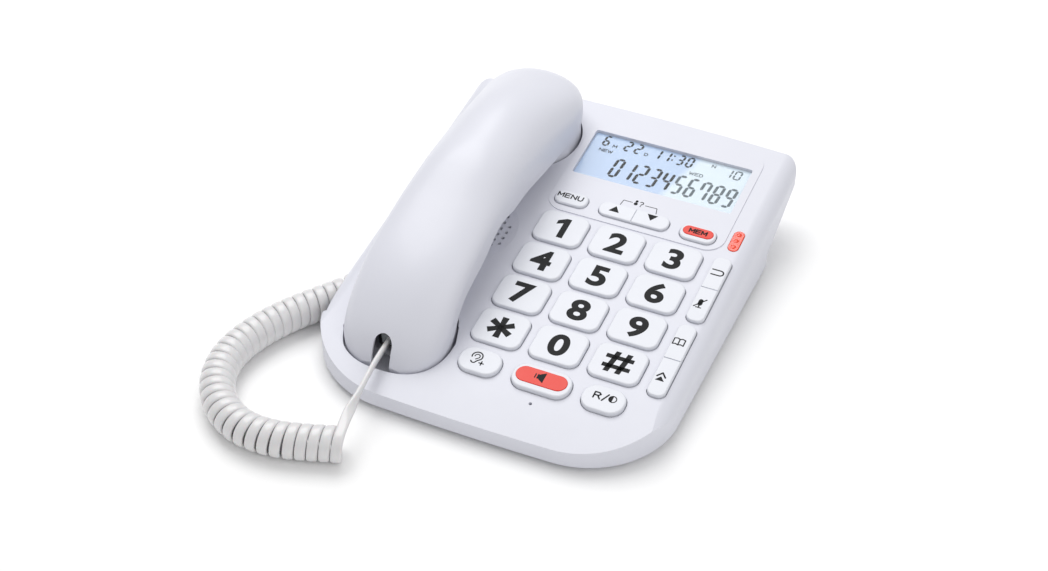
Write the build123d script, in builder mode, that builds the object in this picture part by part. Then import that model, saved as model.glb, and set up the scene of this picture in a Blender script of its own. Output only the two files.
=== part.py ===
from build123d import *
import os
from math import cos, pi, radians, sin, sqrt, tan

# Corded desk phone with big keys. Millimetres, +X right, +Y to the rear, +Z up, standing on Z = 0.
# "Slope frame": x as in the part, s up the sloping key face, h square to it. Its origin is in
# the row of the keys 1, 2 and 3, at the level of the key tops.

# ---- driving dimensions -------------------------------------------------------------------
BODY_WIDTH = 177.0
BODY_DEPTH = 214.0
TILT = 6.65
KEY_ROW_Y = 15.0
KEY_TOP_Z = 30.0
WALL = 2.0
FOOT_HEIGHT = 3.0
FRONT_EDGE_Z = 10.5
FRONT_BEND_Y = -66.0
UNDERCUT_Y = 60.0
UNDERCUT_Z = (10.0, 30.0)
SIDE_ROUNDING = 8.0
FRONT_CORNERS = (49.0, 44.0)
REAR_CORNER = 7.0
EDGE_CROWN = 2.5
SIDE_OVERLAP = 0.05

COLUMN_PITCH = 29.0
ROW_PITCH = 23.2
KEYPAD_X = -2.5
KEY_RISE = 1.8
KEY_SIZE = (24.8, 20.6)
KEY_CORNER = 5.0
KEY_GAP = 0.35
KEY_TRAVEL = 1.1
FLANGE_TOP = -5.0
FLANGE_THICK = 0.8
FLANGE_WIDTH = 0.8
MAT_TOP = -6.8
MAT_THICK = 1.0
PAD_HEIGHT = 0.8
PCB_TOP = -9.0
PCB_THICK = 1.6

WINDOW_CENTRE = (27.85, 56.3)
WINDOW_SIZE = (83.4, 33.0)
WINDOW_DEPTH = 1.4
PLATEAU_CENTRE = (28.0, 48.5)
PLATEAU_SIZE = (91.0, 72.0)
PLATEAU_RISE = 0.45

HANDSET_X = -45.3
HANDSET_FRONT = -110.0
HANDSET_REAR = 88.5
HANDSET_HALF_END = 26.1
HANDSET_HALF_WAIST = 24.1
HANDSET_WALL = 2.2
HANDSET_END_CUT = 1.2
GRIP_DROP = 0.15
PARTING_GAP = 0.3
MOUTH_END_LENGTH = 25.0
EAR_S = 59.0
MOUTH_S = -83.0
EAR_RADIUS = 26.0
MOUTH_RADIUS = 24.0
CUP_BOTTOM = -9.2
POCKET_FLOOR = -9.5
POCKET_GAP = 0.9
POCKET_WALL = 1.5
DISH_DEPTH = 1.6
GRILLE_S = -12.6
GRILLE_RADIUS = 23.8
# heights over the slope frame, from the mouth end to the ear end
PARTING_LINE = [(-110, -7), (-98, -5), (-84, 5), (-64, 16), (-34, 21), (0, 18.5), (34, 12), (60, 9),
                (88.5, 8)]
CROWN_LINE = [(-110, -4.5), (-107, 1.5), (-103, 8), (-96, 15), (-84, 23.5), (-64, 31.2), (-38, 37),
              (-8, 43.2), (24, 41.4), (48, 36.1), (64, 29.5), (79.6, 23.0), (85.6, 16.3), (88.5, 9.5)]
RECESS = [((-101.0, -77.0), (-72.0, -29.5)), ((-101.0, -66.0), (-44.0, -29.5))]
RECESS_ROOF = 17.2
COIL_DIAMETER = 16.6
LEAD_DIAMETER = 3.6
PLUG_SIZE = (7.65, 12.0, 6.6)
CORD_Z = 8.4
BASE_JACK_X = -78.0
BASE_JACK_Z = 10.1

# ---- frames -------------------------------------------------------------------------------
SIN_T = sin(radians(TILT))
COS_T = cos(radians(TILT))
KEYS = Plane(origin=(0, KEY_ROW_Y, KEY_TOP_Z), x_dir=(1, 0, 0), z_dir=(0, -SIN_T, COS_T))


def cross_plane(s):
    """The plane square to the slope at s, with x across the phone and y square to the key face."""
    return Plane(origin=slope_point(0, s, 0), x_dir=(1, 0, 0), z_dir=(0, -COS_T, -SIN_T))


def slope_point(x, s, h):
    """A slope-frame point in the part's frame."""
    return (x, KEY_ROW_Y + s * COS_T - h * SIN_T, KEY_TOP_Z + s * SIN_T + h * COS_T)


def face_z(y, h):
    """The Z at Y of the plane that lies h off the key tops."""
    return KEY_TOP_Z + h / COS_T + (y - KEY_ROW_Y) * tan(radians(TILT))


def line_height(points, s):
    """A smooth curve through points, by cubic pieces whose slopes never overshoot."""
    rises = [(b[1] - a[1]) / (b[0] - a[0]) for a, b in zip(points, points[1:])]
    slopes = [rises[0]]
    for before, after in zip(rises, rises[1:]):
        slopes.append(0.0 if before * after <= 0 else 2 * before * after / (before + after))
    slopes.append(rises[-1])
    s = min(max(s, points[0][0]), points[-1][0])
    i = next(k for k in range(len(rises)) if s <= points[k + 1][0])
    (x0, y0), (x1, y1) = points[i], points[i + 1]
    span = x1 - x0
    t = (s - x0) / span
    return ((1 + 2 * t) * (1 - t) ** 2 * y0 + t * (1 - t) ** 2 * span * slopes[i]
            + t * t * (3 - 2 * t) * y1 - t * t * (1 - t) * span * slopes[i + 1])


# ---- key layout ---------------------------------------------------------------------------
DIGITS = ["1", "2", "3", "4", "5", "6", "7", "8", "9", "star", "0", "hash"]
# name: (x, s, width, height, corner radius)
FUNCTION_KEYS = {
    "menu_key": (-5.8, 20.8, 17.0, 9.0, 4.0),
    "memory_key": (60.0, 20.6, 18.0, 10.2, 4.6),
    "volume_boost_key": (-3.0, -91.2, 20.4, 14.4, 6.6),
    "speaker_key": (27.5, -91.2, 28.4, 14.4, 6.6),
    "recall_key": (57.4, -91.2, 20.4, 14.4, 6.6),
}
ROCKERS = {
    "navigation_rocker": (27.0, 20.8, 36.0, 9.4, 4.2),
    "side_rocker_rear": (77.6, -11.5, 8.8, 43.0, 3.6),
    "side_rocker_front": (77.2, -58.5, 8.8, 45.0, 3.6),
}
CAPS = {
    "memory_key_cap": (60.0, 21.0, 15.4, 6.0),
    "speaker_key_cap": (27.3, -90.8, 24.8, 9.0),
}
digit_keys = {
    f"key_{name}": (KEYPAD_X + COLUMN_PITCH * (n % 3), -ROW_PITCH * (n // 3), *KEY_SIZE, KEY_CORNER)
    for n, name in enumerate(DIGITS)
}
all_keys = {**digit_keys, **FUNCTION_KEYS, **ROCKERS}
LAMP = (78.4, 23.5, 5.6, 14.2)


# ---- forms shared by several pieces ---------------------------------------------------------
def body_form(inset, open_below=0.0):
    """The outer form of the base, moved inwards by inset; open_below drops its underside."""
    half_x = BODY_WIDTH / 2 - inset
    front = -BODY_DEPTH / 2 + inset
    rear = BODY_DEPTH / 2 - inset
    near = front + EDGE_CROWN
    far = rear - EDGE_CROWN
    corners = [((-half_x, near), FRONT_CORNERS[0]), ((half_x, near), FRONT_CORNERS[1]),
               ((half_x, far), REAR_CORNER), ((-half_x, far), REAR_CORNER)]
    with BuildPart() as form:
        with BuildSketch() as footprint:
            with BuildLine():
                Line((-half_x, near), (-half_x, far))
                ThreePointArc((-half_x, far), (0, rear), (half_x, far))
                Line((half_x, far), (half_x, near))
                ThreePointArc((half_x, near), (8, front), (-half_x, near))
            make_face()
            for corner, radius in corners:
                fillet(footprint.vertices().sort_by_distance(corner)[0], radius - inset)
            # every corner has to come out rounded
            assert len(footprint.vertices()) == 2 * len(corners)
        extrude(amount=60)
        top = -KEY_RISE - inset
        low = FOOT_HEIGHT - open_below
        with BuildSketch(Plane.YZ):
            with BuildLine():
                bend = (FRONT_BEND_Y, face_z(FRONT_BEND_Y, top))
                far_front = (-BODY_DEPTH / 2 - 1, FRONT_EDGE_Z - inset)
                back = BODY_DEPTH / 2 + 1
                Line((back, face_z(back, top)), bend)
                TangentArc(bend, far_front, tangent=(-COS_T, -SIN_T))
                Polyline(far_front, (far_front[0], low), (UNDERCUT_Y, low),
                         (UNDERCUT_Y, UNDERCUT_Z[0] - open_below), (back, UNDERCUT_Z[1] - open_below),
                         (back, face_z(back, top)))
            make_face()
        extrude(amount=BODY_WIDTH, both=True, mode=Mode.INTERSECT)
        with BuildSketch(cross_plane(-130)) as cross:
            with Locations((0, top - 40)):
                Rectangle(2 * (half_x + SIDE_OVERLAP), 80)
            fillet(cross.vertices().group_by(Axis.Z)[-1], max(SIDE_ROUNDING - inset, 1.0))
        extrude(amount=-260, mode=Mode.INTERSECT)
    return form.part


def handset_half_width(s):
    """Half the handset's width at s: waisted between two rounded ends."""
    middle = (HANDSET_FRONT + HANDSET_REAR) / 2
    waist = cos(pi / 2 * (s - middle) / (HANDSET_REAR - middle)) ** 2
    width = HANDSET_HALF_END - (HANDSET_HALF_END - HANDSET_HALF_WAIST) * waist
    rear_gap = min(max(HANDSET_REAR - s, 0) / HANDSET_HALF_END, 1)
    front_gap = min(max(s - HANDSET_FRONT, 0) / MOUTH_END_LENGTH, 1)
    return width * sqrt(1 - (1 - rear_gap) ** 2) * (1 - (1 - front_gap) ** 2.5) ** 0.4


def handset_stations(count, clearance):
    """Stations from end to end, closer together near the ends."""
    middle = (HANDSET_FRONT + HANDSET_REAR) / 2
    half = (HANDSET_REAR - HANDSET_FRONT) / 2 - clearance
    return [middle - half * cos(pi * k / (count - 1)) for k in range(count)]


def handset_back_form(inset, floor_drop):
    """The handset's outer form above its parting line, by sections square to the slope."""
    with BuildPart() as form:
        for s in handset_stations(17, HANDSET_END_CUT + inset):
            width = max(handset_half_width(s) - inset, 0.8)
            bottom = line_height(PARTING_LINE, s) - floor_drop
            crown = max(line_height(CROWN_LINE, s) - inset, bottom + 1.2)
            shoulder = bottom + min(5.0, 0.3 * (crown - bottom))
            rise = crown - shoulder
            curve = [(HANDSET_X + width * cos(a), shoulder + rise * sin(a))
                     for a in (pi * k / 10 for k in range(1, 10))]
            with BuildSketch(cross_plane(s)):
                with BuildLine():
                    Line((HANDSET_X - width, bottom), (HANDSET_X + width, bottom))
                    Line((HANDSET_X + width, bottom), (HANDSET_X + width, shoulder))
                    Spline((HANDSET_X + width, shoulder), *curve, (HANDSET_X - width, shoulder))
                    Line((HANDSET_X - width, shoulder), (HANDSET_X - width, bottom))
                make_face()
        loft()
    return form.part


def handset_grip_form(inset, thickness):
    """The handset's inner side below the parting line, without its two cups."""
    with BuildPart() as form:
        for s in handset_stations(13, 1.6 + inset):
            width = max(handset_half_width(s) - 0.7 - inset, 0.8)
            top = line_height(PARTING_LINE, s) - GRIP_DROP
            low = max(top - thickness, CUP_BOTTOM + 1.2)
            with BuildSketch(cross_plane(s)):
                with Locations((HANDSET_X, (top + low) / 2)):
                    Rectangle(2 * width, top - low)
        loft()
    return form.part


def rounded_prism(x, s, width, height, corner, top, bottom):
    """A straight block in the slope frame with rounded corners."""
    with BuildPart() as block:
        with BuildSketch(KEYS.offset(bottom)):
            with Locations((x, s)):
                RectangleRounded(width, height, min(corner, width / 2 - 0.01, height / 2 - 0.01))
        extrude(amount=top - bottom)
    return block.part


def pocket_form(grow):
    """The two pockets that the handset's cups sit in, the cord recess and the dish of the grille."""
    with BuildPart() as pockets:
        with BuildSketch(KEYS.offset(POCKET_FLOOR - grow)):
            with Locations((HANDSET_X, EAR_S)):
                Circle(EAR_RADIUS + POCKET_GAP + grow)
            with BuildLine():
                gap = POCKET_GAP + grow
                wide = HANDSET_HALF_END + gap
                start = -75.0
                neck = 23.9 + grow
                bend = HANDSET_FRONT + MOUTH_END_LENGTH
                end_curve = [(HANDSET_X + wide * abs(cos(a)) ** 0.8 * (1 if a < pi / 2 else -1),
                              bend - (MOUTH_END_LENGTH + gap) * sin(a) ** 0.8)
                             for a in (pi * k / 10 for k in range(1, 10))]
                Line((HANDSET_X - neck, start), (HANDSET_X + neck, start))
                Line((HANDSET_X + neck, start), (HANDSET_X + wide, bend))
                Spline((HANDSET_X + wide, bend), *end_curve, (HANDSET_X - wide, bend),
                       tangents=[(0, -1), (0, 1)])
                Line((HANDSET_X - wide, bend), (HANDSET_X - neck, start))
            make_face()
            with Locations((HANDSET_X, MOUTH_S)):
                Circle(MOUTH_RADIUS + gap)
        extrude(amount=30)
        with BuildSketch(Plane.XY.offset(-5)):
            for (x0, x1), (y0, y1) in RECESS:
                with Locations(((x0 + x1) / 2, (y0 + y1) / 2)):
                    Rectangle(x1 - x0 + 2 * grow, y1 - y0 + 2 * grow)
        extrude(amount=5 + RECESS_ROOF + grow)
        # the shallow dish round the sound holes
        sphere = (GRILLE_RADIUS ** 2 + DISH_DEPTH ** 2) / (2 * DISH_DEPTH) + grow
        reach = GRILLE_RADIUS + 4 * grow
        lowest = -KEY_RISE - DISH_DEPTH - grow
        above = 3.0
        side = Plane(origin=slope_point(HANDSET_X, GRILLE_S, 0), x_dir=(0, COS_T, SIN_T), z_dir=(1, 0, 0))
        with BuildSketch(side):
            with BuildLine():
                rim = (reach, lowest + sphere - sqrt(sphere ** 2 - reach ** 2))
                TangentArc((0, lowest), rim, tangent=(1, 0))
                Polyline(rim, (reach, above), (0, above), (0, lowest))
            make_face()
        revolve(axis=Axis(slope_point(HANDSET_X, GRILLE_S, 0), (0, -SIN_T, COS_T)))
    return pockets.part


def save(part, name):
    part.label = name
    export_step(part, f"parts/{name}.step")


os.makedirs("parts", exist_ok=True)

# ---- base shells ----------------------------------------------------------------------------
pockets = pocket_form(0)
pocket_skins = pocket_form(POCKET_WALL)
HOLE_PITCH = (3.7, 4.0)
PLUNGER_RADIUS = 3.6
RINGER_X = 36.0
RINGER_Z = 33.0
SCREWS = [(-10, -89), (60, -92), (-83, 33), (83, 33)]
POST_LOW = 8.2
POST_HEIGHT = 15.0

with BuildPart() as room:
    add(body_form(WALL, open_below=8))
    add(pocket_skins, mode=Mode.SUBTRACT)

with BuildPart() as screw_posts:
    for x, y in SCREWS:
        with BuildSketch(Plane.XY.offset(POST_LOW)):
            with Locations((x, y)):
                Circle(3.6)
                Circle(1.55, mode=Mode.SUBTRACT)
        extrude(amount=POST_HEIGHT)
    add(body_form(WALL / 2), mode=Mode.INTERSECT)

with BuildPart() as base_top_shell:
    add(body_form(0))
    with BuildSketch(KEYS.offset(-KEY_RISE - 1)):
        with Locations(PLATEAU_CENTRE):
            RectangleRounded(*PLATEAU_SIZE, 9)
    extrude(amount=1 + PLATEAU_RISE)
    add(pockets, mode=Mode.SUBTRACT)
    add(room.part, mode=Mode.SUBTRACT)
    add(screw_posts.part)
    # openings for the keys, the lamp, the display and the hands-free microphone
    with BuildSketch(KEYS.offset(-8)):
        for x, s, width, height, corner in all_keys.values():
            with Locations((x, s)):
                RectangleRounded(width + 2 * KEY_GAP, height + 2 * KEY_GAP,
                                 min(corner + KEY_GAP, width / 2, height / 2 - 0.05))
        with Locations(LAMP[:2]):
            RectangleRounded(LAMP[2], LAMP[3], LAMP[2] / 2 - 0.01)
        with Locations((WINDOW_CENTRE[0], WINDOW_CENTRE[1])):
            Rectangle(WINDOW_SIZE[0] - 3, WINDOW_SIZE[1] - 3)
        with Locations((27.5, -104)):
            Circle(0.8)
    extrude(amount=12, mode=Mode.SUBTRACT)
    with BuildSketch(KEYS.offset(-KEY_RISE - WINDOW_DEPTH)):
        with Locations(WINDOW_CENTRE):
            RectangleRounded(*WINDOW_SIZE, 1.2)
    extrude(amount=6, mode=Mode.SUBTRACT)
    # sound holes of the loudspeaker, in staggered columns
    with BuildSketch(KEYS.offset(-8)):
        for column in range(-5, 6):
            for row in range(-6, 7):
                hole_x = column * HOLE_PITCH[0]
                hole_s = (row + 0.5 * (column % 2)) * HOLE_PITCH[1]
                if hole_x ** 2 + hole_s ** 2 < 20.6 ** 2:
                    with Locations((HANDSET_X + hole_x, GRILLE_S + hole_s)):
                        Circle(0.85)
    extrude(amount=7.5, mode=Mode.SUBTRACT)
    with BuildSketch(KEYS.offset(POCKET_FLOOR - WALL - 1)):
        with Locations((HANDSET_X, EAR_S)):
            Circle(PLUNGER_RADIUS + 0.4)
    extrude(amount=5, mode=Mode.SUBTRACT)
    # the ringer switch's slot, low in the rear wall
    with BuildSketch(Plane.XZ.offset(-BODY_DEPTH / 2 + 6)):
        with Locations((RINGER_X, RINGER_Z)):
            Rectangle(10, 2.6)
    extrude(amount=-8, mode=Mode.SUBTRACT)
    with Locations((BASE_JACK_X, RECESS[0][1][1], BASE_JACK_Z)):
        Box(11.4, 8, 10.2, mode=Mode.SUBTRACT)
save(base_top_shell.part, "base_top_shell")

KEYHOLE_SPACING = 80.0
KEYHOLE_X = -20.0
KEYHOLE_MIDDLE_Y = -15.0
FEET = [(-62, -84), (62, -84), (-72, 46), (72, 46)]
BATTERY_X = 40.0
BATTERY_YS = (-2.0, 9.5, 21.0)
BATTERY_RADIUS = 5.25
BATTERY_LENGTH = 44.5
DOOR_SIZE = (60.0, 40.0)
DOOR_Y = 9.5
DOOR_SCREW_X = 66.8
SHELL_GAP = 0.2
LINE_JACK_X = -20.0
NICHE_Y = 42.0
NICHE_WIDTH = 22.0
NICHE_TOP = 17.5

with BuildPart() as base_bottom_shell:
    add(body_form(WALL + SHELL_GAP))
    # only the floor is kept: flat in front, a short step up, then the rising rear
    with BuildSketch(Plane.YZ):
        with BuildLine():
            end = BODY_DEPTH / 2
            Polyline((-end, 0), (end, 0), (end, UNDERCUT_Z[1] + WALL),
                     (UNDERCUT_Y - WALL, UNDERCUT_Z[0] + WALL),
                     (UNDERCUT_Y - WALL, FOOT_HEIGHT + WALL), (-end, FOOT_HEIGHT + WALL), close=True)
        make_face()
    extrude(amount=BODY_WIDTH, both=True, mode=Mode.INTERSECT)
    # the walls of the niche for the line jack
    niche_middle_y = (NICHE_Y - WALL + 84) / 2
    with Locations((LINE_JACK_X, niche_middle_y, (FOOT_HEIGHT + NICHE_TOP + WALL) / 2)):
        Box(NICHE_WIDTH + 2 * WALL, 84 - NICHE_Y + WALL, NICHE_TOP + WALL - FOOT_HEIGHT)
    # the walls of the battery compartment, with the tab for the door's screw
    with Locations((BATTERY_X, DOOR_Y, FOOT_HEIGHT + 6.2)):
        Box(DOOR_SIZE[0] + 3, DOOR_SIZE[1] + 3, 12.4)
    for x, y in SCREWS:
        with BuildSketch(Plane.XY.offset(FOOT_HEIGHT)):
            with Locations((x, y)):
                Circle(4.5)
        extrude(amount=5)
    with Locations((LINE_JACK_X, NICHE_Y + 30, NICHE_TOP / 2)):
        Box(NICHE_WIDTH, 60, NICHE_TOP, mode=Mode.SUBTRACT)
    with Locations((BATTERY_X, DOOR_Y, FOOT_HEIGHT + 6.2)):
        Box(DOOR_SIZE[0] + 0.5, DOOR_SIZE[1] + 0.5, 12.4, mode=Mode.SUBTRACT)
    with Locations((DOOR_SCREW_X + 1.2, DOOR_Y, FOOT_HEIGHT + 5)):
        Box(5, 7, 6)
    with BuildSketch():
        with Locations((DOOR_SCREW_X, DOOR_Y)):
            Circle(1.25)
    extrude(amount=20, mode=Mode.SUBTRACT)
    add(body_form(WALL + SHELL_GAP), mode=Mode.INTERSECT)
    add(pocket_form(WALL + SHELL_GAP), mode=Mode.SUBTRACT)
    for x, y in SCREWS:
        with BuildSketch(Plane.XY.offset(FOOT_HEIGHT)):
            with Locations((x, y)):
                Circle(3.4)
        extrude(amount=2.4, mode=Mode.SUBTRACT)
        with BuildSketch():
            with Locations((x, y)):
                Circle(1.7)
        extrude(amount=12, mode=Mode.SUBTRACT)
    # wall-mount keyholes: a round entry for the screw head and a slot towards the rear
    for y in (KEYHOLE_MIDDLE_Y - KEYHOLE_SPACING / 2, KEYHOLE_MIDDLE_Y + KEYHOLE_SPACING / 2):
        with BuildSketch():
            with Locations((KEYHOLE_X, y)):
                Circle(4.2)
            with Locations((KEYHOLE_X, y + 5)):
                Rectangle(4.0, 10)
            with Locations((KEYHOLE_X, y + 10)):
                Circle(2.0)
        extrude(amount=12, mode=Mode.SUBTRACT)
    with Locations((LINE_JACK_X, NICHE_Y - WALL / 2, 11)):
        Box(12.4, 6, 9.4, mode=Mode.SUBTRACT)
save(base_bottom_shell.part, "base_bottom_shell")

with BuildPart() as rubber_feet:
    for x, y in FEET:
        with BuildSketch():
            with Locations((x, y)):
                Circle(5.5)
        extrude(amount=FOOT_HEIGHT)
    chamfer(edges().group_by(Axis.Z)[0], 0.5)
save(rubber_feet.part, "rubber_feet")

with BuildPart() as base_screws:
    for x, y in SCREWS:
        with BuildSketch(Plane.XY.offset(FOOT_HEIGHT + 0.4)):
            with Locations((x, y)):
                Circle(3.0)
        extrude(amount=2.0)
        with BuildSketch(Plane.XY.offset(FOOT_HEIGHT + 2.4)):
            with Locations((x, y)):
                Circle(1.5)
        extrude(amount=6)
        with BuildSketch(Plane.XY.offset(FOOT_HEIGHT + 0.4)):
            with Locations((x, y)):
                Rectangle(3.6, 0.8)
                Rectangle(0.8, 3.6)
        extrude(amount=1.0, mode=Mode.SUBTRACT)
save(base_screws.part, "base_screws")

with BuildPart() as battery_door:
    with BuildSketch(Plane.XY.offset(FOOT_HEIGHT)):
        with Locations((BATTERY_X, DOOR_Y)):
            Rectangle(*DOOR_SIZE)
    extrude(amount=1.8)
    for step in range(-3, 4):
        with BuildSketch(Plane.XY.offset(FOOT_HEIGHT)):
            with Locations((BATTERY_X - 20, DOOR_Y + 2.4 * step)):
                Rectangle(12, 0.9)
        extrude(amount=0.6, mode=Mode.SUBTRACT)
    with BuildSketch(Plane.XY.offset(FOOT_HEIGHT)):
        with Locations((DOOR_SCREW_X, DOOR_Y)):
            Circle(2.8)
    extrude(amount=1.1, mode=Mode.SUBTRACT)
    with BuildSketch(Plane.XY.offset(FOOT_HEIGHT)):
        with Locations((DOOR_SCREW_X, DOOR_Y)):
            Circle(1.35)
    extrude(amount=5, mode=Mode.SUBTRACT)
save(battery_door.part, "battery_door")

with BuildPart() as battery_door_screw:
    with BuildSketch(Plane.XY.offset(FOOT_HEIGHT + 0.1)):
        with Locations((DOOR_SCREW_X, DOOR_Y)):
            Circle(2.5)
    extrude(amount=1.0)
    with BuildSketch(Plane.XY.offset(FOOT_HEIGHT + 1.1)):
        with Locations((DOOR_SCREW_X, DOOR_Y)):
            Circle(1.2)
    extrude(amount=7)
    with BuildSketch(Plane.XY.offset(FOOT_HEIGHT + 0.1)):
        with Locations((DOOR_SCREW_X, DOOR_Y)):
            Rectangle(3.0, 0.7)
            Rectangle(0.7, 3.0)
    extrude(amount=0.6, mode=Mode.SUBTRACT)
save(battery_door_screw.part, "battery_door_screw")

with BuildPart() as batteries:
    for y in BATTERY_YS:
        with BuildSketch(Plane.YZ.offset(BATTERY_X - BATTERY_LENGTH / 2)):
            with Locations((y, FOOT_HEIGHT + 2.1 + BATTERY_RADIUS)):
                Circle(BATTERY_RADIUS)
        extrude(amount=BATTERY_LENGTH - 1)
        with BuildSketch(Plane.YZ.offset(BATTERY_X + BATTERY_LENGTH / 2 - 1)):
            with Locations((y, FOOT_HEIGHT + 2.1 + BATTERY_RADIUS)):
                Circle(1.9)
        extrude(amount=1)
save(batteries.part, "batteries")

with BuildPart() as battery_contacts:
    for y in BATTERY_YS:
        for end in (-1, 1):
            with Locations((BATTERY_X + end * (BATTERY_LENGTH / 2 + 0.4), y, FOOT_HEIGHT + 7.2)):
                Box(0.5, 8, 8)
save(battery_contacts.part, "battery_contacts")

# ---- display ----------------------------------------------------------------------------------
LCD_TOP = -KEY_RISE - WINDOW_DEPTH - 1.0
display_window = rounded_prism(*WINDOW_CENTRE, WINDOW_SIZE[0] - 3.2, WINDOW_SIZE[1] - 3.2, 0.8,
                               -KEY_RISE - 1.0, LCD_TOP + 0.2)
save(display_window, "display_window")
lcd_module = rounded_prism(*WINDOW_CENTRE, WINDOW_SIZE[0] + 1, WINDOW_SIZE[1] + 1, 0.5,
                           LCD_TOP, LCD_TOP - 2.2)
save(lcd_module, "lcd_module")
lcd_backlight = rounded_prism(*WINDOW_CENTRE, WINDOW_SIZE[0] + 3, WINDOW_SIZE[1] - 1, 0.5,
                              LCD_TOP - 2.3, LCD_TOP - 4.0)
save(lcd_backlight, "lcd_backlight")

# ---- circuit board and switches -----------------------------------------------------------------
BOARD_X = 32.0
BOARD_WIDTH = 94.0

with BuildPart() as main_pcb:
    with BuildSketch(KEYS.offset(PCB_TOP - PCB_THICK)):
        with Locations((BOARD_X, -35)):
            Rectangle(BOARD_WIDTH + 1, 128)
    extrude(amount=PCB_THICK)
    with BuildSketch(KEYS.offset(PCB_TOP)):
        with Locations((31, 24)):
            Rectangle(16, 6)
    extrude(amount=1.4)
save(main_pcb.part, "main_pcb")

with BuildPart() as keypad_mat:
    with BuildSketch(KEYS.offset(MAT_TOP - MAT_THICK)):
        with Locations((BOARD_X, -36)):
            RectangleRounded(BOARD_WIDTH, 124, 3)
        with Locations((31, 24)):
            Rectangle(20, 10, mode=Mode.SUBTRACT)
    extrude(amount=MAT_THICK)
    with BuildSketch(KEYS.offset(PCB_TOP)):
        with Locations((BOARD_X, -36)):
            RectangleRounded(BOARD_WIDTH, 124, 3)
            Rectangle(BOARD_WIDTH - 3, 121, mode=Mode.SUBTRACT)
        with Locations((31, 24)):
            Rectangle(30, 14, mode=Mode.SUBTRACT)
    extrude(amount=MAT_TOP - MAT_THICK - PCB_TOP)
    with BuildSketch(KEYS.offset(MAT_TOP)):
        for x, s, width, height, corner in {**digit_keys, **FUNCTION_KEYS}.values():
            with Locations((x, s)):
                Circle(3.2)
    extrude(amount=PAD_HEIGHT)
save(keypad_mat.part, "keypad_mat")


with BuildPart() as call_lamp_lens:
    with BuildSketch(KEYS.offset(-KEY_RISE - 3)):
        with Locations(LAMP[:2]):
            RectangleRounded(LAMP[2] - 0.3, LAMP[3] - 0.3, LAMP[2] / 2 - 0.2)
    extrude(amount=3.4)
    fillet(faces().sort_by(Axis.Z)[-1].edges(), 0.35)
    for lobe in (-1, 0, 1):
        with Locations(slope_point(LAMP[0], LAMP[1] + lobe * 4.2, -KEY_RISE - 1.75)):
            Sphere(2.5)
save(call_lamp_lens.part, "call_lamp_lens")

SPEAKER_TOP = -6.6

with BuildPart() as loudspeaker:
    with BuildSketch(KEYS.offset(SPEAKER_TOP)):
        with Locations((HANDSET_X, GRILLE_S)):
            Circle(22)
    extrude(amount=-2.0)
    with BuildSketch(KEYS.offset(SPEAKER_TOP - 2)):
        with Locations((HANDSET_X, GRILLE_S)):
            Circle(20)
    extrude(amount=-4.0, taper=30)
    with BuildSketch(KEYS.offset(SPEAKER_TOP - 6)):
        with Locations((HANDSET_X, GRILLE_S)):
            Circle(11)
    extrude(amount=-3.6)
    with BuildSketch(KEYS.offset(SPEAKER_TOP)):
        with Locations((HANDSET_X, GRILLE_S)):
            Circle(18)
    extrude(amount=-4.0, taper=25, mode=Mode.SUBTRACT)
save(loudspeaker.part, "loudspeaker")

handsfree_microphone = rounded_prism(27.5, -104, 6, 6, 2.9, -6.2, -9.6)
save(handsfree_microphone, "handsfree_microphone")

with BuildPart() as hook_plunger:
    with BuildSketch(KEYS.offset(POCKET_FLOOR)):
        with Locations((HANDSET_X, EAR_S)):
            Circle(PLUNGER_RADIUS)
    extrude(amount=-5)
    fillet(faces().sort_by(Axis.Z)[-1].edges(), 0.8)
save(hook_plunger.part, "hook_plunger")

hook_switch = rounded_prism(HANDSET_X, EAR_S, 9, 7, 0.4, POCKET_FLOOR - 5.3, POCKET_FLOOR - 6.9)
save(hook_switch, "hook_switch")

with BuildPart() as ringer_switch:
    with BuildSketch(Plane.XZ.offset(-BODY_DEPTH / 2 + 5)):
        with Locations((RINGER_X, RINGER_Z)):
            Rectangle(3.4, 2.2)
    extrude(amount=-5)
save(ringer_switch.part, "ringer_switch")

with BuildPart() as ringer_switch_body:
    with Locations((RINGER_X, BODY_DEPTH / 2 - 7.6, RINGER_Z - 0.5)):
        Box(13, 4.4, 4.2)
save(ringer_switch_body.part, "ringer_switch_body")

with BuildPart() as line_jack:
    with Locations((LINE_JACK_X, NICHE_Y - 7, 11)):
        Box(12, 13.6, 9)
    with Locations((LINE_JACK_X, NICHE_Y - 5, 11)):
        Box(9.7, 10, 6.7, mode=Mode.SUBTRACT)
save(line_jack.part, "line_jack")

# ---- keys -------------------------------------------------------------------------------------
def key_cap(x, s, width, height, corner, rounding):
    """A key with a crowned rim, hollow underneath the flange that keeps it in the shell."""
    with BuildPart() as key:
        with BuildSketch(KEYS.offset(FLANGE_TOP - FLANGE_THICK)):
            with Locations((x, s)):
                RectangleRounded(width, height, min(corner, width / 2 - 0.05, height / 2 - 0.05))
        extrude(amount=FLANGE_THICK - FLANGE_TOP)
        top_face = faces().sort_by(Axis.Z)[-1]
        fillet(top_face.edges(), rounding)
        with BuildSketch(KEYS.offset(FLANGE_TOP - FLANGE_THICK)):
            with Locations((x, s)):
                RectangleRounded(width + 2 * FLANGE_WIDTH, height + 2 * FLANGE_WIDTH,
                                 min(corner, width / 2 - 0.05, height / 2 - 0.05))
        extrude(amount=FLANGE_THICK)
    return key.part


for name, (x, s, width, height, corner) in digit_keys.items():
    save(key_cap(x, s, width, height, corner, 0.9), name)

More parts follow.
